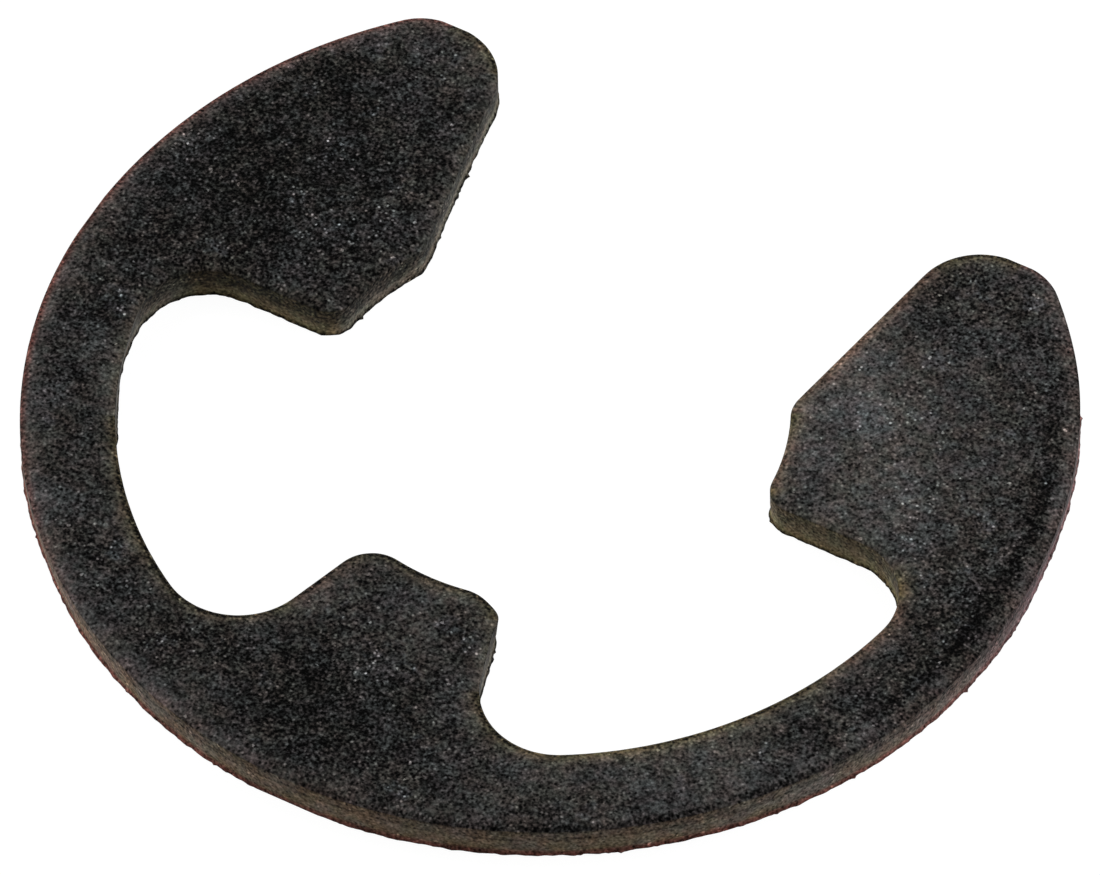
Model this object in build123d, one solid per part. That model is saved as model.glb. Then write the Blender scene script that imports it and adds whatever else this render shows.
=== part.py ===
from build123d import *
import math
import os

# A stamped E-clip: a spring steel retaining ring that is pushed sideways into a groove
# in a shaft and grips the groove's floor with three prongs.
# Millimetres and degrees. The clip lies flat, its lower face on Z = 0. The origin is the
# centre of the shaft that it grips, +Y points out of the mouth and +Z is the clip's axis.

# Driving dimensions of the outline
outer_diameter = 16.76
ring_width = 1.49  # of the bow that joins the three prongs
seat_diameter = 7.68  # across the three prong tips, unfitted
snap_in = 0.97  # the throat is this much narrower than the seat
lead_in_angle = 9.9  # the mouth opens outwards by this on each side
arm_end_cut = 2.22  # from the outer circle's top to the arms' flat ends
middle_prong_width = 2.44  # at the tip
middle_prong_flare = 18.4  # the middle prong widens to its root by this on each side

# Corner radii of the outline
arm_outer_radius = 0.98
arm_inner_radius = 1.13
throat_radius = 0.58
side_tip_radius = 0.45
middle_tip_radius = 0.65
gap_outer_radius = 1.15  # where a side prong's lower edge meets the bow
gap_inner_radius = 1.27  # where the middle prong meets the bow

# Driving dimensions of the sheet and of its sheared edge
thickness = 0.64
roll_width = 0.4  # the upper edges are drawn down over this width
roll_depth = 0.065
fracture_height = 0.27  # the lower part of the wall, which tore away and leans inwards
fracture_lean = 0.02


def shrinkage(room, roundings):
    """What a pair of neighbouring corners' radii are multiplied by: 1, or less where the
    edge between the corners is too short for both roundings."""
    return min(1, 0.95 * room / roundings)


outer_radius = outer_diameter / 2
gap_radius = outer_radius - ring_width
seat_radius = seat_diameter / 2
throat_half = (seat_diameter - snap_in) / 2
throat_height = math.sqrt(seat_radius**2 - throat_half**2)
arm_end_height = outer_radius - arm_end_cut
prong_length = gap_radius - seat_radius
side_fit = shrinkage(prong_length, side_tip_radius + gap_outer_radius)
middle_fit = shrinkage(prong_length, middle_tip_radius + gap_inner_radius)


def mouth_half_width(y):
    """Half of the mouth's width at a height above the seat's centre."""
    return throat_half + (y - throat_height) * math.tan(math.radians(lead_in_angle))


def prong_half_width(y):
    """Half of the middle prong's width at a height, which is negative along the prong."""
    half = middle_prong_width / 2
    return half - (y + seat_radius) * math.tan(math.radians(middle_prong_flare))


def across_circle(radius, y):
    """How far a circle about the origin is from the Y axis at a height."""
    return math.sqrt(radius**2 - y**2)


def on_prong_side(radius):
    """The point where the middle prong's right side crosses a circle about the origin."""
    # The side is x = reach - slope * y, and on the circle x**2 + y**2 = radius**2.
    slope = math.tan(math.radians(middle_prong_flare))
    reach = prong_half_width(0)
    root = math.sqrt(radius**2 * (1 + slope**2) - reach**2)
    y = (slope * reach - root) / (1 + slope**2)
    return reach - slope * y, y


def outward_corners():
    """The corner points of the right half that stick out, each with its radius."""
    arm_end = across_circle(outer_radius, arm_end_height)
    mouth_end = mouth_half_width(arm_end_height)
    outer_rounding = arm_end - across_circle(
        outer_radius - arm_outer_radius, arm_end_height - arm_outer_radius
    )
    inner_rounding = arm_inner_radius * math.tan(math.radians(90 - lead_in_angle) / 2)
    arm_fit = shrinkage(arm_end - mouth_end, outer_rounding + inner_rounding)
    return [
        (arm_end, arm_end_height, arm_fit * arm_outer_radius),
        (mouth_end, arm_end_height, arm_fit * arm_inner_radius),
        (throat_half, throat_height, throat_radius),
        (seat_radius, 0, side_fit * side_tip_radius),
        (*on_prong_side(seat_radius), middle_fit * middle_tip_radius),
    ]


def inward_corners():
    """The corner points at the outer ends of the right gap, each with its radius."""
    return [
        (gap_radius, 0, side_fit * gap_outer_radius),
        (*on_prong_side(gap_radius), middle_fit * gap_inner_radius),
    ]


def tapered(half_width, low, high):
    """A face between two heights, as wide at each of them as half_width says."""
    at_low, at_high = half_width(low), half_width(high)
    corners = (-at_low, low), (at_low, low), (at_high, high), (-at_high, high)
    return make_face(Polyline(*corners, close=True))


def below(y):
    """A face that covers all of the clip below a height."""
    depth = y + outer_diameter
    return Pos(0, y - depth / 2) * Rectangle(2 * outer_diameter, depth)


def outline():
    """The clip's outline, cut from a disc, with its corners rounded in mirrored pairs."""
    clip = Circle(outer_radius) & below(arm_end_height)
    clip -= Circle(seat_radius)
    clip -= tapered(mouth_half_width, 0, outer_diameter)
    gaps = Circle(gap_radius) & below(0)
    gaps -= tapered(prong_half_width, -outer_diameter, -seat_radius / 2)
    clip -= gaps
    for x, y, radius in outward_corners() + inward_corners():
        pair = [v for v in clip.vertices() if math.hypot(abs(v.X) - x, v.Y - y) < 1e-4]
        clip = fillet(pair, radius)
    return clip


def bevelled(solid, z, across, down):
    """The solid with all edges of its flat face at a height bevelled, by one length
    across that face and by another down the side."""
    face = solid.faces().filter_by(Axis.Z).sort_by_distance((0, 0, z))[0]
    return chamfer(face.edges(), across, down, reference=face)


def e_clip():
    """The clip, sheared from sheet: rolled over at its upper edges and torn below."""
    clip = extrude(outline(), thickness)
    clip = bevelled(clip, 0, fracture_lean, fracture_height)
    # The roll goes down ever more steeply, so it is a steep bevel and then a shallow
    # one. It is narrower than the tightest corner that it goes round.
    tightest = min(radius for _, _, radius in outward_corners())
    half_roll = min(roll_width, 0.9 * tightest) / 2
    steep_face = math.hypot(half_roll, roll_depth)
    clip = bevelled(clip, thickness, half_roll, roll_depth)
    return bevelled(clip, thickness, half_roll, steep_face / 2)


os.makedirs("parts", exist_ok=True)
export_step(e_clip(), "parts/e_clip.step")
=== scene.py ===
import math

import bpy
import numpy as np
from mathutils import Matrix, Vector, noise
from mathutils.geometry import delaunay_2d_cdt
from mathutils.kdtree import KDTree

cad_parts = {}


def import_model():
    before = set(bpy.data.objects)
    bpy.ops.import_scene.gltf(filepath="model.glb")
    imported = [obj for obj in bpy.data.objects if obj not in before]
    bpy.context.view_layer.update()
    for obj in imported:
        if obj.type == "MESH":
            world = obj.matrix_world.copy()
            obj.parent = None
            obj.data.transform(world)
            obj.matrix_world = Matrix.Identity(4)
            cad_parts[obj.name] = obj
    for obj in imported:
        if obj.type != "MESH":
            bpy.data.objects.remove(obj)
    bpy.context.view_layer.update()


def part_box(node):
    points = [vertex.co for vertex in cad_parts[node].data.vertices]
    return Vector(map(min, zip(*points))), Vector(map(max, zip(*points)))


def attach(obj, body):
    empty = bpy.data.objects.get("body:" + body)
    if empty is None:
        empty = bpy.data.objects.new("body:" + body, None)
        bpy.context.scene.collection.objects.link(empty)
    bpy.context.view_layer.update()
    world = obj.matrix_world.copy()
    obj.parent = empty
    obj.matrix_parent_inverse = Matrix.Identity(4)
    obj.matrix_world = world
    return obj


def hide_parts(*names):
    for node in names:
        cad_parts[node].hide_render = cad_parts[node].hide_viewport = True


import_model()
node_low, node_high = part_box("e_clip")

# An E-clip stamped from spring steel, with a dull black phosphate finish. It lies flat,
# its lower face on Z = 0, its mouth towards +Y. Lengths below are millimetres unless
# a comment says otherwise; MM turns them into Blender's metres.
MM = 0.001

# The outline, as in the CAD source. The outside, the arms' ends and the thickness come
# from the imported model's box.
OUTER_RADIUS = (node_high.x - node_low.x) / 2 / MM
ARM_END_HEIGHT = node_high.y / MM
THICKNESS = node_high.z / MM
RING_WIDTH = 1.49
SEAT_RADIUS = 3.84
THROAT_HALF = 3.355
LEAD_IN = math.radians(9.9)
MIDDLE_PRONG_HALF = 1.22
MIDDLE_PRONG_FLARE = math.radians(18.4)
ARM_OUTER_RADIUS = 0.98
ARM_INNER_RADIUS = 1.13
THROAT_RADIUS = 0.58
SIDE_TIP_RADIUS = 0.45
GAP_OUTER_RADIUS = 1.15
GAP_INNER_RADIUS = 1.27
MIDDLE_TIP_RADIUS = 0.65

# The sheared edge, from the top down: rolled over, then smooth, then torn.
ROLL_WIDTH = 0.4
ROLL_DEPTH = 0.065
FRACTURE_HEIGHT = 0.27
FRACTURE_LEAN = 0.02
COAT = 0.011  # how far the phosphate coat stands out from the steel
BURR_HEIGHT = 0.05  # of the thin lip that stands out at the very bottom
BURR_LENGTH = 0.034
TOOTH_LENGTH = 0.12  # of the sharpest teeth that the burr could have
# Where the outline bulges, or is cut deeper where an amount is negative: the middle's X
# and Y, the radius, and the amounts at the top and at the bottom.
BULGES = [
    (1.30, -4.05, 0.22, 0.075, 0.0),
    (1.75, -5.2, 0.6, 0.0, -0.03),
    (-6.62, -2.0, 0.75, 0.02, -0.08),
    (8.25, 1.4, 1.2, 0.0, -0.070),
    (8.3, -1.2, 1.6, 0.0, -0.035),
    (7.1, 4.4, 1.3, 0.028, 0.028),
    (-5.6, -6.2, 1.4, 0.0, -0.055),
    (-3.4, -7.6, 1.4, 0.0, -0.025),
    (-8.2, -2.0, 1.8, 0.012, 0.012),
    (-3.65, 3.7, 1.2, 0.0, -0.03),
]

# How finely the mesh is divided
OUTLINE_STEP = 0.048
FACE_STEP = 0.13
ROLL_RINGS = 10
LAND_RINGS = 6
FRACTURE_RINGS = 11

# A tone is how light the finish is as the eye sees it: 0 is black and 1 is white.
FACE_TONE = 0.160
# Broad patches that are lighter, or darker where the amount is negative, partly real variation of the coat
# and partly painted light that makes the right arm lighter and the left darker: the middle's X and Y, the
# radius, and the amount.
PATCHES_AND_PAINTED_LIGHT = [
    (-6.0, 2.2, 2.6, -0.072),
    (-4.9, 5.4, 0.9, 0.020),
    (-0.6, -6.7, 1.5, -0.065),
    (0.2, -4.6, 0.8, 0.055),
    (4.9, 1.2, 1.5, 0.090),
    (4.2, 2.2, 0.7, 0.070),
    (4.1, 3.4, 0.8, 0.085),
    (5.4, -0.2, 0.8, 0.030),
    (-1.4, -5.0, 0.8, 0.045),
    (6.2, 3.0, 1.5, 0.030),
    (5.8, -5.2, 1.6, 0.075),
    (3.2, -7.0, 1.3, 0.025),
    (-5.3, -5.4, 1.2, 0.012),
    (7.7, -0.7, 0.7, -0.030),
]
# Small pale scuffs of the faces: the middle's X and Y, the radius, and how strong.
SCUFFS = [
    (-5.6, 2.95, 0.26, 1.0),
    (-5.65, 1.8, 0.22, 0.9),
    (-4.95, 1.65, 0.60, 0.55),
    (-4.4, 2.1, 0.35, 0.5),
    (-7.75, 1.95, 0.32, 0.6),
    (-7.05, -3.5, 0.20, 0.5),
    (-2.8, -6.5, 0.20, 0.7),
    (0.1, -6.0, 0.25, 0.6),
    (4.6, 2.3, 0.50, 0.4),
    (5.9, 1.1, 0.45, 0.5),
    (3.8, 3.05, 0.30, 0.5),
    (6.4, 0.2, 0.35, 0.4),
]

# The tone of the walls at each height above the lower face, as pairs. The walls are lighter than the faces:
# partly the sheared steel's own colour, partly a painted reflection of the white floor
OUTER_WALL = [
    (0, 0.40), (0.08, 0.42), (0.20, 0.40), (0.28, 0.42), (0.35, 0.43),
    (0.38, 0.32), (0.395, 0.26), (0.42, 0.33), (0.48, 0.35), (0.56, 0.32),
]
# The inner walls' dark foot, below 0.05, is painted shade where they meet the floor.
INNER_WALL = [
    (0, 0.12), (0.02, 0.20), (0.05, 0.44), (0.16, 0.42),
    (0.22, 0.35), (0.30, 0.27), (0.42, 0.22), (0.56, 0.21),
]

# What varies along the outer edge, as pairs of an angle from +X in degrees and an amount.
# How much lighter the rim of the faces is, partly worn and partly a painted highlight on the edges that
# face away from the front, and how brown:
RIM = [
    (-200, 0.21), (-165, 0.19), (-135, 0.20), (-105, 0.21), (-75, 0.10),
    (-45, 0.06), (-15, 0.15), (15, 0.12), (60, 0.14), (110, 0.23),
]
RIM_BROWN = [(-150, 0.15), (-60, 0.25), (90, 0.6), (170, 0.5)]
# How much darker a thin line of painted shade along the rim is, how far in it runs, and its half width:
EDGE_SHADE_LINE = [
    (-170, 0.12), (-140, 0.05), (-110, 0.05), (-80, 0.12), (-40, 0.13),
    (-8, 0.10), (20, 0.08), (60, 0.06), (110, 0.11),
]
LINE_INSET = [
    (-170, 0.03), (-120, 0.01), (-80, 0.03), (-40, 0.05), (-10, 0.02), (60, 0.02), (110, 0.05),
]
LINE_WIDTH = [
    (-170, 0.035), (-110, 0.035), (-75, 0.055), (-40, 0.07), (-10, 0.05), (30, 0.035),
]
# How much darker a soft band of the faces is, further in:
BAND = [(-34, 0.0), (-22, 0.06), (-8, 0.11), (18, 0.12), (28, 0.08), (42, 0.0)]
# How brown, mauve and rusty the wall is:
WALL_BROWN = [
    (-150, 0.9), (-120, 0.85), (-60, 0.9), (-25, 0.6), (0, 0.3), (20, 0.1), (60, 0.3), (170, 0.4),
]
WALL_MAUVE = [(-35, 0.0), (-12, 0.25), (5, 0.9), (25, 0.6), (40, 0.1), (90, 0.0)]
WALL_RUST = [(-165, 0.0), (-150, 0.2), (-135, 0.3), (-115, 0.1), (-100, 0.0)]
# How high the wall's red-brown foot reaches, which is also darker there as painted shade where it meets the
# floor:
RED_HEIGHT = [(-150, 0.09), (-120, 0.12), (-60, 0.12), (0, 0.10), (90, 0.09)]
# How much darker the wall's upper part is, and the whole wall round the arms on the far side, which is
# painted shade:
UPPER_SHADE = [(-160, 0.05), (-130, 0.0), (-35, 0.0), (-15, 0.08), (15, 0.15), (100, 0.06)]
ARM_SHADE = [(-170, 0.12), (-150, 0.0), (30, 0.0), (50, 0.10), (110, 0.12)]

# How far in the band is, and how far from the middle each of these fades
BAND_INSET = 0.36
BAND_WIDTH = 0.16
RIM_WIDTH = 0.2
STAIN_WIDTH = 0.17  # of the worn rim's brown or olive stain
FRINGE_WIDTH = 0.07  # of the red at the very edge of a face
RIM_FALL = 1.3  # the power at which the rim and its stain fade inwards
# The inner edges' rim, partly worn and partly a painted highlight, and the line of painted shade along
# them, before the way that the edge faces changes them
INNER_RIM = 0.155
INNER_LINE = 0.22
INNER_LINE_INSET = 0.04
INNER_LINE_WIDTH = 0.035
# The way that the front faces in plan. An inner edge facing it gets the least painted highlight on its rim,
# and a wall facing away from it gets painted shade
FRONT_WAY = np.array([0.5, -0.87])
# The way that an outer edge faces where its rim is the reddest, times a strength
REDDEST = np.array([-1.3, 0.8])

# The sizes of the finish's grain
GRAIN = 0.055
CRYSTAL = 0.078
PIT = 0.082
DUST = 0.045
CLOUD = 0.25
SMUDGE = 0.8
# How much each adds to the tone, and what keeps their sum even about nothing
GRAIN_TONE = 0.80
CRYSTAL_TONE = 0.27
PIT_TONE = -0.18
SPECKLE_MEAN = 0.388
SPECULAR = 0.03

# Tints, as red, green and blue times the tone
COOL_STEEL, WARM_STEEL = (1.0, 1.0, 1.01), (1.08, 1.0, 0.90)
PINKISH, GREENISH = (1.07, 0.98, 0.99), (0.94, 1.02, 1.01)
SMUDGED = (0.95, 1.0, 1.07)
BROWN_RIM, BROWN_WALL = (1.45, 0.86, 0.74), (1.44, 0.97, 0.50)
STAINS = {"olive": (1.30, 1.04, 0.52), "red": (1.90, 0.75, 0.60), "mauve": (1.38, 0.89, 0.95)}

# The floor, in metres: half its width, and how far below the clip it is
FLOOR_HALF = 0.4
FLOOR_GAP = 0.00001
FLOOR_WHITE = 0.85
# What the camera sees of the floor is mostly a glow, which comes to white with the rest.
GLOW_SHARE = 0.85
GLOW = 1.12

# The camera: the photograph was taken from far away through a long lens.
CAMERA_AIM = Vector((0.059, -0.0945, 0.0))
CAMERA_ELEVATION = math.radians(51.7)
CAMERA_BEARING = math.radians(30.25)  # from -Y towards +X
CAMERA_ROLL = math.radians(-1.4)
CAMERA_DISTANCE = 260.6
CAMERA_LENS = 537.4


# ---- the outline ----

def offset_circle(radius, sense, distance):
    """The radius of a circle about the origin moved to the left of its travel."""
    return radius - sense * distance


def line_on_circle(point, direction, radius, near):
    """Where a line crosses a circle about the origin, nearest to a point."""
    foot = point - direction * point.dot(direction)
    reach = math.sqrt(max(radius**2 - foot.length_squared, 0.0))
    return min((foot + direction * t for t in (-reach, reach)), key=lambda p: (p - near).length)


def line_on_line(p, u, q, v):
    """Where two lines cross."""
    return p + u * ((q - p).cross(v) / u.cross(v))


def sideways(direction):
    """The unit vector to the left of a direction."""
    return Vector((-direction.y, direction.x))


def meeting(a, b, distance, near):
    """Where two edges of the outline meet once both are moved left by a distance."""
    if a[0] == "circle":
        a, b = b, a
    point = a[1] + sideways(a[2]) * distance
    if b[0] == "line":
        return line_on_line(point, a[2], b[1] + sideways(b[2]) * distance, b[2])
    return line_on_circle(point, a[2], offset_circle(b[1], b[2], distance), near)


def foot_on(edge, centre):
    """The point of an edge that is nearest to a rounding's centre."""
    if edge[0] == "circle":
        return centre.normalized() * edge[1]
    return edge[1] + edge[2] * (centre - edge[1]).dot(edge[2])


def arc_points(centre, start, end, sense):
    """Points and outward normals along an arc, without its end."""
    radius = (start - centre).length
    first = math.atan2(start.y - centre.y, start.x - centre.x)
    last = math.atan2(end.y - centre.y, end.x - centre.x)
    turn = (last - first) * sense % (2 * math.pi) * sense
    count = max(2, round(abs(turn) * radius / OUTLINE_STEP))
    angles = [first + turn * i / count for i in range(count)]
    rays = [Vector((math.cos(a), math.sin(a))) for a in angles]
    return [(centre + ray * radius, ray * sense) for ray in rays]


def line_points(start, end):
    """Points and outward normals along a straight edge, without its end."""
    direction = (end - start).normalized()
    count = max(2, round((end - start).length / OUTLINE_STEP))
    return [(start.lerp(end, i / count), -sideways(direction)) for i in range(count)]


def edge_points(edge, start, end):
    """Points and outward normals along one edge of the outline, without its end."""
    if edge[0] == "circle":
        return arc_points(Vector((0, 0)), start, end, edge[2])
    return line_points(start, end)


def half_outline():
    """Points and outward normals of the right half, counterclockwise from the bow's
    outside on the Y axis to the middle prong's tip on the Y axis."""
    lead, flare = LEAD_IN, MIDDLE_PRONG_FLARE
    throat_height = math.sqrt(SEAT_RADIUS**2 - THROAT_HALF**2)
    throat = Vector((THROAT_HALF, throat_height))
    prong = Vector((MIDDLE_PRONG_HALF, -SEAT_RADIUS))
    # A circle has a radius and the sense of its travel, a line a point and a direction.
    edges = [
        ("circle", OUTER_RADIUS, 1),
        ("line", Vector((0, ARM_END_HEIGHT)), Vector((-1, 0))),
        ("line", throat, Vector((-math.sin(lead), -math.cos(lead)))),
        ("circle", SEAT_RADIUS, -1),
        ("line", Vector((0, 0)), Vector((1, 0))),
        ("circle", OUTER_RADIUS - RING_WIDTH, -1),
        ("line", prong, Vector((-math.sin(flare), math.cos(flare)))),
        ("circle", SEAT_RADIUS, -1),
    ]
    # A rounding's radius is negative where the outline turns right, in a gap's corners. The
    # place after it is near its corner, and picks one of the two where a line crosses a circle.
    roundings = [
        (ARM_OUTER_RADIUS, Vector((5.7, 6.2))),
        (ARM_INNER_RADIUS, Vector((4.1, 6.2))),
        (THROAT_RADIUS, throat),
        (SIDE_TIP_RADIUS, Vector((3.8, 0))),
        (-GAP_OUTER_RADIUS, Vector((6.9, 0))),
        (-GAP_INNER_RADIUS, Vector((2.2, -6.5))),
        (MIDDLE_TIP_RADIUS, prong),
    ]
    found, here = [], Vector((0, -OUTER_RADIUS))
    for (radius, near), edge, after in zip(roundings, edges, edges[1:]):
        centre = meeting(edge, after, radius, near)
        leave, arrive = foot_on(edge, centre), foot_on(after, centre)
        found += edge_points(edge, here, leave)
        found += arc_points(centre, leave, arrive, 1 if radius > 0 else -1)
        here = arrive
    return found + edge_points(edges[-1], here, Vector((0, -SEAT_RADIUS)))


def outline():
    """The whole outline, counterclockwise, as arrays of points and outward normals."""
    right = half_outline() + [(Vector((0, -SEAT_RADIUS)), Vector((0, 1)))]
    left = [(Vector((-p.x, p.y)), Vector((-n.x, n.y))) for p, n in reversed(right[1:-1])]
    both = right + left
    return np.array([p for p, _ in both]), np.array([n for _, n in both])


# ---- the mesh ----

def part_way(value, at_nothing, at_all):
    """0 at one value and 1 at another, in proportion between them and level beyond."""
    return np.clip((value - at_nothing) / (at_all - at_nothing), 0, 1)


def fade(distance, width, power=2):
    """1 where a distance is 0, less and less away from it."""
    return np.exp(-((np.abs(distance) / width) ** power))


def wobble(points, z, size, seed):
    """Smooth noise from -1 to 1 at points in plan and a height."""
    return np.array([noise.noise(Vector((p[0], p[1], z + 7.3 * seed)) / size) for p in points])


def wall_heights():
    """The heights of the rings up the wall."""
    torn = np.linspace(0, 1, FRACTURE_RINGS) ** 1.4 * FRACTURE_HEIGHT * 1.2
    smooth = np.linspace(torn[-1], THICKNESS - ROLL_DEPTH, LAND_RINGS + 1)[1:]
    return np.concatenate([torn, smooth])


def fracture_edge(points):
    """The height at which the wall's smooth part gives way to its torn part."""
    return FRACTURE_HEIGHT + 0.05 * wobble(points, 0, 0.6, 1) + 0.02 * wobble(points, 0, 0.13, 2)


def wall_inset(points, z):
    """How far inside the outline the wall's surface is at a height."""
    below = np.clip((fracture_edge(points) - z) / 0.03, 0, 1)
    lean = FRACTURE_LEAN * np.clip(1 - z / FRACTURE_HEIGHT, 0, 1)
    torn = 0.008 * wobble(points, z * 0.7, 0.09, 3) + 0.005 * wobble(points, z, 0.04, 4)
    foot = np.clip(1 - z / BURR_HEIGHT, 0, 1)
    burr = BURR_LENGTH * (1 + 0.6 * wobble(points, 0, 0.16, 6))
    teeth = TOOTH_LENGTH * np.clip(wobble(points, 0, 0.08, 8) - 0.40, 0, 1)
    return coat_inset(points, z / THICKNESS) + below * (lean + torn) - foot * (burr + teeth)


def coat_inset(points, up):
    """How far inside the outline the coat is, from 0 at the bottom to 1 at the top."""
    bulge = 0
    for x, y, radius, top, bottom in BULGES:
        away = np.hypot(points[:, 0] - x, points[:, 1] - y)
        bulge = bulge + (bottom + (top - bottom) * up) * fade(away, radius)
    return 0.0015 * wobble(points, 0, 0.07, 5) - COAT - bulge


def roll_profile():
    """Insets and heights of the rings round the rolled upper edge, an ellipse's quarter."""
    turn = np.linspace(0, math.pi / 2, ROLL_RINGS + 1)[1:]
    inset = ROLL_WIDTH * (1 - np.cos(turn))
    return inset, THICKNESS - ROLL_DEPTH * (1 - np.sin(turn))


def inside_box(co):
    """Points kept inside the CAD node's box."""
    low, high = np.array(node_low) / MM, np.array(node_high) / MM
    return np.clip(co, low + 1e-6, high - 1e-6)


def clip_rings(points, normals):
    """The rings of the wall and of the roll, from the bottom up."""
    rings = []
    for z in wall_heights():
        at = points - normals * wall_inset(points, z)[:, None]
        rings.append(np.c_[at, np.full(len(at), z)])
    for inset, z in zip(*roll_profile()):
        at = points - normals * (inset + coat_inset(points, 1) * (1 - inset / ROLL_WIDTH))[:, None]
        rings.append(np.c_[at, np.full(len(at), z)])
    return rings


def wall_faces(rings):
    """The quads between each ring and the next."""
    count = len(rings[0])
    return [
        (low + i, low + (i + 1) % count, low + count + (i + 1) % count, low + count + i)
        for low in range(0, count * (len(rings) - 1), count)
        for i in range(count)
    ]


def clear_of(flat, point, distance):
    """True if a point is further from the outline's points than a distance."""
    return np.min(np.hypot(flat[:, 0] - point[0], flat[:, 1] - point[1])) > distance


def face_fill(ring, step):
    """Points inside a ring and the triangles that fill it."""
    flat = ring[:, :2]
    count = len(flat)
    low, high = flat.min(0), flat.max(0)
    rows = np.arange(low[1], high[1], step * math.sqrt(3) / 2)
    grid = [
        (x + (step / 2 if i % 2 else 0), y)
        for i, y in enumerate(rows)
        for x in np.arange(low[0], high[0], step)
    ]
    grid = [p for p in grid if clear_of(flat, p, step * 0.6)]
    border = [(i, (i + 1) % count) for i in range(count)]
    verts = [Vector(p) for p in flat] + [Vector(p) for p in grid]
    out = delaunay_2d_cdt(verts, border, [list(range(count))], 1, 1e-9)
    return np.array([tuple(v) for v in out[0]])[count:], [tuple(f) for f in out[2]]


def sheet(ring, first, z, total, up):
    """A flat face at a height that fills a ring, as new points and triangles, turned up or
    down. The ring's points are numbered from first, and the new ones from total."""
    inner, triangles = face_fill(ring, FACE_STEP)
    count = len(ring)
    faces = [tuple(first + v if v < count else total + v - count for v in t) for t in triangles]
    return np.c_[inner, np.full(len(inner), z)], faces if up else [f[::-1] for f in faces]


def clip_mesh():
    """The whole clip, with what its finish depends on kept at its vertices."""
    points, normals = outline()
    rings = clip_rings(points, normals)
    total = len(points) * len(rings)
    top, top_faces = sheet(rings[-1], total - len(points), THICKNESS, total, True)
    bottom, bottom_faces = sheet(rings[0], 0, 0.0, total + len(top), False)
    co = np.vstack([*rings, top, bottom])
    faces = wall_faces(rings) + top_faces + bottom_faces
    mesh = bpy.data.meshes.new("e_clip_steel")
    mesh.from_pydata([Vector(p) * MM for p in inside_box(co)], [], faces)
    mesh.update()
    mesh.shade_smooth()
    for name, value in finish_values(Places(co, points, normals)).items():
        mesh.attributes.new(name, "FLOAT", "POINT").data.foreach_set("value", value.astype(np.float32))
    return mesh


# ---- what the finish depends on at each vertex ----

class Places:
    """Where each vertex is, and what the outline is like at its nearest point. Each value
    is an array with one number a vertex."""

    def __init__(self, co, points, normals):
        near = nearest_of(points, co)
        edge, normal = points[near], normals[near]
        self.co, self.z = co, co[:, 2]
        self.reach = np.hypot(*(co[:, :2] - edge).T)  # from the outline, in plan
        self.angle = np.degrees(np.arctan2(edge[:, 1], edge[:, 0]))
        self.outer = (np.hypot(*edge.T) > OUTER_RADIUS - 0.3).astype(float)
        self.inner = 1 - self.outer
        self.right = part_way(edge[:, 0], 1.5, 3.0)
        self.right_arm = edge[:, 0] > 3
        self.fracture = fracture_edge(points)[near]
        self.unevenness = wobble(points, 0, 0.5, 9)[near]  # of the line along the rim
        self.foot = part_way(self.z, 0.25, 0)
        self.upper = part_way(self.z, 0.15, 0.27)
        # What the way that the edge faces changes, painted highlight and painted shade among it
        self.facing = normal @ FRONT_WAY
        # dull: painted shade on the inner walls that face away from the front.
        self.dull = part_way(self.facing, 0, -0.4)
        self.grey = part_way(normal[:, 0], 0.6, 0.9) * (self.facing > 0)
        self.brownish = part_way(normal[:, 0], -0.9, -0.95)
        self.redness = np.clip(normal @ REDDEST, 0, 1)


def nearest_of(points, co):
    """For each vertex, which point of the outline is nearest in plan."""
    tree = KDTree(len(points))
    for i, p in enumerate(points):
        tree.insert((p[0], p[1], 0), i)
    tree.balance()
    return np.array([tree.find((p[0], p[1], 0))[1] for p in co])


def along(angle, pairs):
    """The value at an angle between pairs of an angle and a value."""
    angles, values = zip(*pairs)
    return np.interp(angle, angles, values, period=360)


def up_wall(z, pairs):
    """The value at a height between pairs of a height and a value."""
    heights, values = zip(*pairs)
    return np.interp(z, heights, values)


def spot(co, x, y, radius):
    """1 at a place in plan, fading round it."""
    return fade(np.hypot(co[:, 0] - x, co[:, 1] - y), radius)


def patch_and_light_tone(co):
    """How much lighter the broad patches are, partly coat variation and partly painted light."""
    return sum(amount * spot(co, x, y, radius) for x, y, radius, amount in PATCHES_AND_PAINTED_LIGHT)


def scuffed(co):
    """How scuffed the faces are, from 0 to 1."""
    return np.max([amount * spot(co, x, y, radius) for x, y, radius, amount in SCUFFS], axis=0)


def on_wall(at):
    """1 on the wall and 0 on the faces."""
    wall = part_way(at.z, THICKNESS - 0.045, THICKNESS - 0.065)
    wall[(at.z < 1e-6) & (at.reach > 0.06)] = 0
    return wall


def painted_edge_shade(at):
    """How much darker the thin line of painted shade along the rim is."""
    inner = INNER_LINE * part_way(at.facing, 0.1, -0.3) - 0.12 * at.right_arm * at.brownish
    line = at.outer * along(at.angle, EDGE_SHADE_LINE) + at.inner * inner
    return line * (1 + 0.7 * at.unevenness)


def rim_wear_and_highlight(at):
    """How much lighter the rim is: partly worn, partly a painted highlight that is least where an inner
    edge faces the front.
    """
    # worn: how much of the inner rim's painted highlight an edge gets, least where it faces the front.
    worn = np.maximum(part_way(at.facing, 0.6, 0.1), 0.25)
    return at.outer * along(at.angle, RIM) + at.inner * (INNER_RIM + 0.04 * at.right) * worn


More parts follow.
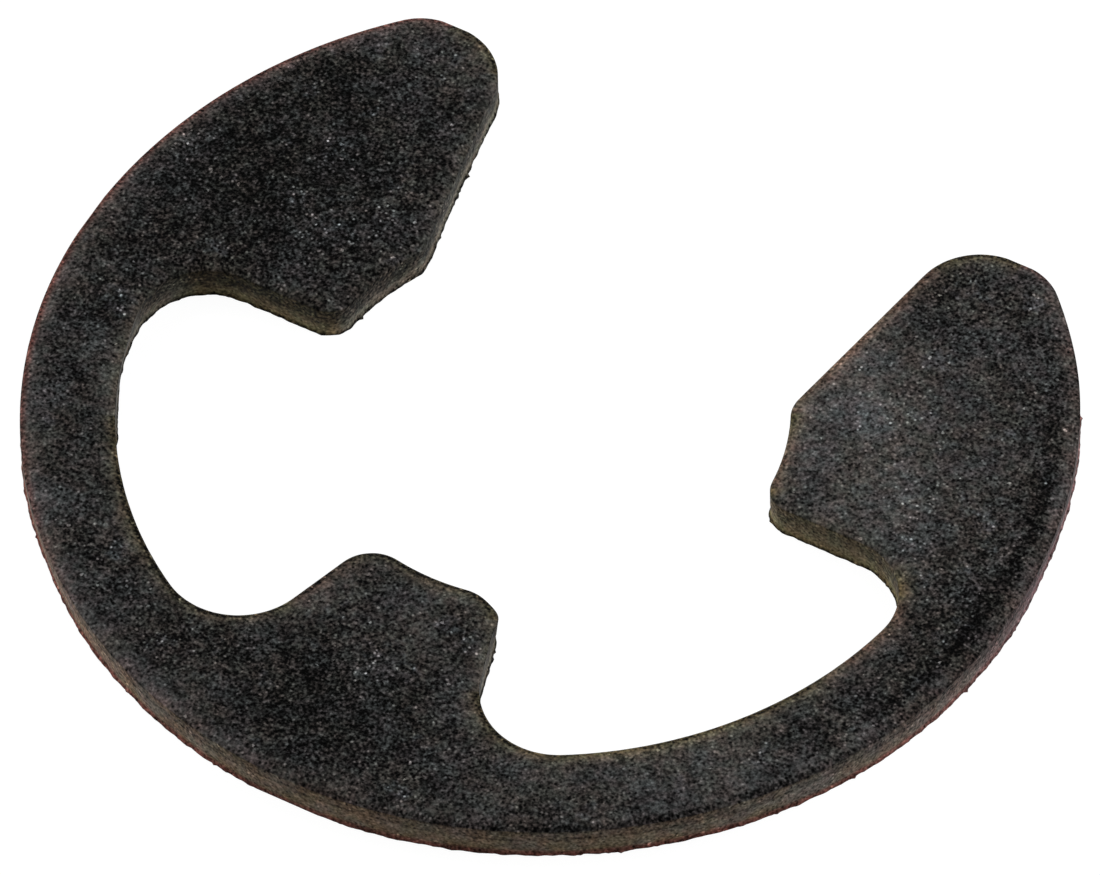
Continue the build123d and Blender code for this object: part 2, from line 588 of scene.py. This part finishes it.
def face_tone(at, line, rim):
    """How light the faces are."""
    tone = FACE_TONE + 0.020 * wobble(at.co, 3.1, 2.0, 0) + 0.035 * wobble(at.co, 5.7, 0.7, 0)
    # The broad patches here are partly painted light, and the rim partly a painted highlight.
    tone += patch_and_light_tone(at.co) + rim * fade(at.reach, RIM_WIDTH, RIM_FALL)
    inset = at.outer * along(at.angle, LINE_INSET) + at.inner * INNER_LINE_INSET
    width = at.outer * along(at.angle, LINE_WIDTH) + at.inner * INNER_LINE_WIDTH
    # The thin line along the rim is painted shade.
    tone -= line * fade(at.reach - inset, width)
    return tone - at.outer * along(at.angle, BAND) * fade(at.reach - BAND_INSET, BAND_WIDTH)


def wall_tone(at, line, red_foot):
    """How light the walls are, partly a painted reflection of the white floor. The fracture's edge moves
    the tones up or down with it.
    """
    height = at.z - (at.fracture - FRACTURE_HEIGHT) * part_way(at.z, 0, 0.1)
    # The red-brown foot is darker too: painted shade where the wall meets the floor.
    # The wall round the arms, on the far side, is darker as painted shade.
    outer = up_wall(height, OUTER_WALL) - 0.09 * red_foot - along(at.angle, ARM_SHADE)
    outer -= along(at.angle, UPPER_SHADE) * at.upper
    # The patches' painted light reaches up the inner walls too.
    inner = up_wall(height, INNER_WALL) + patch_and_light_tone(at.co) * (0.3 + 0.7 * at.upper)
    # Inner walls that face away from the front are darker here: painted shade.
    inner += 0.03 * at.right * at.upper - 0.04 * at.grey - 0.17 * at.dull
    # The line of painted shade reaches over the wall's top as well.
    return at.outer * outer + at.inner * inner - line * fade(at.z - 0.59, 0.02)


def olive_share(at, wall, stain):
    """How olive the inner walls and their rims are."""
    # Painted shade also takes olive from the inner walls facing away from the front.
    walls = wall * (0.75 + 0.2 * at.foot) * (1 - 0.55 * at.dull)
    rims = 0.7 * stain * (1 - 0.6 * at.brownish)
    return at.inner * (1 - 0.6 * at.grey) * np.maximum(walls, rims)


def brown_share(at, wall, stain):
    """How brown the outer wall and the rims are."""
    walls = at.outer * wall * along(at.angle, WALL_BROWN) * (0.7 + 0.3 * at.foot)
    rims = at.outer * along(at.angle, RIM_BROWN) + at.inner * 0.7 * at.brownish
    return np.maximum(walls, stain * rims)


def finish_values(at):
    """What the finish depends on, by name: whether a vertex is on the wall, how light
    it is, painted light and shade included, and how brown, olive, red, mauve and scuffed."""
    wall, line, rim = on_wall(at), painted_edge_shade(at), rim_wear_and_highlight(at)
    stain = rim / 0.13 * fade(at.reach, STAIN_WIDTH, RIM_FALL)
    # The wall's red-brown foot, darkened in wall_tone as painted shade where it meets the floor.
    red_foot = np.clip(1.3 - 1.3 * at.z / along(at.angle, RED_HEIGHT), 0, 1) * wall
    rust = wall * along(at.angle, WALL_RUST)
    fringe = at.redness * fade(at.reach, FRINGE_WIDTH) * (1 - wall)
    return {
        "wall": wall,
        "tone": (1 - wall) * face_tone(at, line, rim) + wall * wall_tone(at, line, red_foot),
        "brown": brown_share(at, wall, stain),
        "olive": olive_share(at, wall, stain),
        "red": at.outer * np.max([red_foot, rust, fringe], axis=0),
        "mauve": at.outer * wall * along(at.angle, WALL_MAUVE),
        "scuff": scuffed(at.co) * (1 - wall),
    }


clip = bpy.data.objects.new("e_clip_steel", clip_mesh())
bpy.context.scene.collection.objects.link(clip)


# ---- materials ----

class Graph:
    """A material's nodes. A value is a number, a colour or another node's output."""

    def __init__(self, name):
        self.material = bpy.data.materials.new(name)
        self.material.use_nodes = True
        self.tree = self.material.node_tree
        self.tree.nodes.clear()

    def node(self, kind, settings=None, **inputs):
        """A new node. An input is named, or numbered as _0, _1 and so on."""
        made = self.tree.nodes.new(kind)
        for name, value in (settings or {}).items():
            setattr(made, name, value)
        for name, value in inputs.items():
            self.put(made.inputs[int(name[1:]) if name[0] == "_" else name.replace("_", " ")], value)
        return made

    def put(self, socket, value):
        """Gives a socket its value."""
        if isinstance(value, bpy.types.NodeSocket):
            self.tree.links.new(value, socket)
        elif isinstance(value, tuple) and len(value) == 3 and socket.type == "RGBA":
            socket.default_value = (*value, 1)
        else:
            socket.default_value = value

    def math(self, operation, a, b=0.0, clamp=False):
        """What an operation makes of two numbers, kept from 0 to 1 if clamp is true."""
        kind = {"operation": operation, "use_clamp": clamp}
        return self.node("ShaderNodeMath", kind, _0=a, _1=b).outputs[0]

    def add(self, first, *others):
        """Numbers added up."""
        for other in others:
            first = self.math("ADD", first, other)
        return first

    def times(self, a, b, clamp=False):
        """Two numbers multiplied."""
        return self.math("MULTIPLY", a, b, clamp)

    def ramp(self, value, low, high, at_low=0.0, at_high=1.0):
        """at_low up to low, at_high from high on, and smooth between."""
        kind = {"interpolation_type": "SMOOTHSTEP"}
        made = self.node("ShaderNodeMapRange", kind, _0=value, _1=low, _2=high, _3=at_low, _4=at_high)
        return made.outputs[0]

    def mix(self, amount, a, b):
        """The colour a, or b where the amount is 1."""
        return self.node("ShaderNodeMix", {"data_type": "RGBA"}, _0=amount, _6=a, _7=b).outputs[2]

    def scaled(self, colour, gain):
        """A colour or a place times a number."""
        return self.node("ShaderNodeVectorMath", {"operation": "SCALE"}, _0=colour, _3=gain).outputs[0]

    def tinted(self, colour, tint):
        """A colour times a colour."""
        return self.node("ShaderNodeVectorMath", {"operation": "MULTIPLY"}, _0=colour, _1=tint).outputs[0]

    def attribute(self, name):
        """A number kept at the mesh's vertices."""
        return self.node("ShaderNodeAttribute", {"attribute_name": name}).outputs["Fac"]

    def millimetres(self):
        """Where a point of the object is, in millimetres."""
        place = self.node("ShaderNodeTexCoord").outputs["Object"]
        return self.scaled(place, 1 / MM)

    def noise(self, place, size, detail=2.0, rough=0.5):
        """Noise about 0.5 whose features are about size millimetres."""
        made = self.node("ShaderNodeTexNoise", Vector=place, Scale=1 / size, Detail=detail, Roughness=rough)
        return made.outputs["Fac"]

    def cells(self, place, size):
        """Cells of about size millimetres: how far the cell's middle is, in sizes, and a
        random number from 0 to 1 for each cell."""
        made = self.node("ShaderNodeTexVoronoi", Vector=place, Scale=1 / size)
        pick = self.node("ShaderNodeSeparateColor", Color=made.outputs["Color"]).outputs[0]
        return made.outputs["Distance"], pick

    def linear(self, tone):
        """How much light a tone gives back."""
        above = self.math("MAXIMUM", self.add(tone, 0.055), 0.0)
        return self.math("POWER", self.math("DIVIDE", above, 1.055), 2.4)


def crystals_and_pits(g, place):
    """Bright crystals and dark pits, each from 0 to 1 at its middle."""
    reach, pick = g.cells(place, CRYSTAL)
    crystals = g.times(g.ramp(reach, 0.12, 0.45, 1.0, 0.0), g.times(pick, pick))
    return crystals, g.ramp(g.cells(g.scaled(place, 1.01), PIT)[0], 0.15, 0.42, 1.0, 0.0)


def smudges(g, place, tone):
    """How smudged the coat is, scuffs with it, and how scuffed alone."""
    smudge = g.ramp(g.noise(g.scaled(place, 0.97), SMUDGE, 4.0, 0.65), 0.55, 0.70)
    smudge = g.times(smudge, g.ramp(tone, 0.16, 0.28, 0.9, 0.5))
    ragged = g.ramp(g.noise(g.scaled(place, 1.03), 0.16, 2.0, 0.6), 0.35, 0.60, 0.3, 1.2)
    scuff = g.times(g.attribute("scuff"), ragged)
    return g.math("MAXIMUM", smudge, scuff), scuff


def scratches(g, place):
    """Sparse fine light lines in two directions."""
    total = 0.0
    for turn, seed in (0.5, 3.0), (-0.9, 8.0):
        across = g.node("ShaderNodeMapping", Vector=place, Location=(seed, seed, seed))
        across.inputs["Rotation"].default_value = (0, 0, turn)
        across.inputs["Scale"].default_value = (0.35, 9.0, 1.0)
        lines = g.noise(across.outputs[0], 0.35, 1.0, 0.4)
        total = g.add(total, g.ramp(lines, 0.74, 0.80, 0.0, 0.05))
    return total


def coat_tone(g, place, crystals, pits, smudge, scuff):
    """The tone with its speckle, clouds, bright specks, scratches, smudges and scuffs."""
    tone = g.attribute("tone")
    grain = g.noise(place, GRAIN, 1.0, 0.5)
    parts = g.times(grain, GRAIN_TONE), g.times(crystals, CRYSTAL_TONE), g.times(pits, PIT_TONE)
    speckle = g.times(g.add(*parts, -SPECKLE_MEAN), g.ramp(tone, 0.12, 0.24, 0.95, 0.72))
    clouds = g.ramp(g.noise(place, CLOUD, 3.0, 0.6), 0.3, 0.7, -0.045, 0.045)
    dust = g.ramp(g.cells(g.scaled(place, 0.99), DUST)[1], 0.9985, 0.9990, 0.0, 0.30)
    smudged = g.times(smudge, g.add(g.times(crystals, 0.38), 0.035))
    scuffs = g.times(scuff, g.add(g.times(crystals, 0.55), 0.055))
    return g.add(tone, speckle, clouds, dust, scratches(g, place), smudged, scuffs)


def coat_tint(g, place, smudge):
    """The tint: nearly grey, and stained where the vertices say so."""
    brown = g.mix(g.ramp(g.attribute("wall"), 0.0, 1.0), BROWN_RIM, BROWN_WALL)
    mottle = g.ramp(g.noise(place, 0.45, 2.0, 0.5), 0.35, 0.65, 0.6, 1.1)
    tint = g.mix(g.ramp(g.noise(place, 0.8, 2.0, 0.5), 0.35, 0.65), COOL_STEEL, WARM_STEEL)
    tint = g.mix(smudge, tint, SMUDGED)
    tint = g.mix(g.times(g.attribute("brown"), mottle, clamp=True), tint, brown)
    for name, stain in STAINS.items():
        tint = g.mix(g.attribute(name), tint, stain)
    patches = g.ramp(g.noise(g.scaled(place, 1.02), 0.32, 2.0, 0.6), 0.35, 0.65)
    return g.tinted(tint, g.mix(patches, PINKISH, GREENISH))


def phosphate():
    """A dull black crystalline coat. What makes it lighter or darker, painted light and shade from the
    vertices among it, is added up as the eye sees it, and is made linear at the end."""
    g = Graph("phosphated_steel")
    place = g.millimetres()
    crystals, pits = crystals_and_pits(g, place)
    smudge, scuff = smudges(g, place, g.attribute("tone"))
    tone = coat_tone(g, place, crystals, pits, smudge, scuff)
    colour = g.scaled(coat_tint(g, place, smudge), g.linear(tone))
    roughness = g.ramp(g.noise(place, 0.12, 2.0, 0.6), 0.3, 0.7, 0.45, 0.65)
    bumps = g.add(g.math("SUBTRACT", crystals, pits), g.noise(place, 0.05, 3.0, 0.6))
    bump = g.node("ShaderNodeBump", Strength=0.6, Distance=0.010 * MM, Height=bumps).outputs[0]
    shader = g.node("ShaderNodeBsdfPrincipled", Base_Color=colour, Roughness=roughness, Normal=bump)
    shader.inputs["Specular IOR Level"].default_value = SPECULAR
    g.node("ShaderNodeOutputMaterial", Surface=shader.outputs[0])
    return g.material


clip.data.materials.append(phosphate())
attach(clip, "root")
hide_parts("e_clip")


# ---- floor, lights and camera ----

def floor_material():
    """Plain white. The camera and reflections see it as mostly glowing, so that it is
    white and the clip's shadow on it is faint."""
    g = Graph("floor_white")
    diffuse = g.node("ShaderNodeBsdfDiffuse", Color=(FLOOR_WHITE, FLOOR_WHITE, FLOOR_WHITE)).outputs[0]
    glow = g.node("ShaderNodeEmission", Strength=GLOW).outputs[0]
    path = g.node("ShaderNodeLightPath").outputs
    seen = g.math("MAXIMUM", path["Is Camera Ray"], path["Is Glossy Ray"])
    seen = g.math("MAXIMUM", seen, path["Is Transmission Ray"])
    mixed = g.node("ShaderNodeMixShader", _0=g.times(seen, GLOW_SHARE), _1=diffuse, _2=glow)
    g.node("ShaderNodeOutputMaterial", Surface=mixed.outputs[0])
    return g.material


def floor():
    """A square floor just under the clip."""
    mesh = bpy.data.meshes.new("floor")
    corners = [(-1, -1), (1, -1), (1, 1), (-1, 1)]
    places = [(x * FLOOR_HALF, y * FLOOR_HALF, -FLOOR_GAP) for x, y in corners]
    mesh.from_pydata(places, [], [(0, 1, 2, 3)])
    obj = bpy.data.objects.new("floor", mesh)
    mesh.materials.append(floor_material())
    bpy.context.scene.collection.objects.link(obj)


def away_from_origin(bearing, elevation):
    """The unit vector that rises by an elevation over a bearing from -Y towards +X."""
    level = math.cos(elevation)
    return Vector((math.sin(bearing) * level, -math.cos(bearing) * level, math.sin(elevation)))


def soft_light(name, bearing, elevation, distance, size, share):
    """A square panel. A white surface that faced it alone would render at about share. Its
    bearing, from -Y towards +X, and its elevation are in degrees."""
    data = bpy.data.lights.new(name, "AREA")
    data.shape = "SQUARE"
    data.size = size * MM
    data.energy = share * math.pi**2 * (distance * MM) ** 2
    obj = bpy.data.objects.new(name, data)
    away = away_from_origin(math.radians(bearing), math.radians(elevation))
    obj.location = away * distance * MM
    obj.rotation_euler = away.to_track_quat("Z", "Y").to_euler()
    bpy.context.scene.collection.objects.link(obj)


def world(level):
    """Even white light all round."""
    made = bpy.data.worlds.new("studio")
    bpy.context.scene.world = made
    made.use_nodes = True
    background = made.node_tree.nodes["Background"].inputs
    background["Strength"].default_value = level
    background["Color"].default_value = (1, 1, 1, 1)


def camera():
    """The camera at the photograph's viewing angle."""
    data = bpy.data.cameras.new("camera")
    data.sensor_width = 36
    data.lens = CAMERA_LENS
    data.clip_start, data.clip_end = 0.01, 5
    obj = bpy.data.objects.new("camera", data)
    back = away_from_origin(CAMERA_BEARING, CAMERA_ELEVATION)
    right = Vector((math.cos(CAMERA_BEARING), math.sin(CAMERA_BEARING), 0))
    turn = Matrix((right, back.cross(right), back)).transposed() @ Matrix.Rotation(CAMERA_ROLL, 3, "Z")
    obj.matrix_world = Matrix.Translation((CAMERA_AIM + back * CAMERA_DISTANCE) * MM) @ turn.to_4x4()
    bpy.context.scene.collection.objects.link(obj)
    bpy.context.scene.camera = obj


floor()
soft_light("panel_left", bearing=-85, elevation=28, distance=200, size=180, share=0.75)
soft_light("panel_right", bearing=135, elevation=40, distance=50, size=50, share=0.6)
soft_light("panel_back", bearing=-150, elevation=10, distance=150, size=130, share=0.35)
soft_light("panel_low", bearing=118, elevation=10, distance=120, size=80, share=0.35)
world(0.15)
camera()
bpy.context.scene.view_settings.view_transform = "Standard"
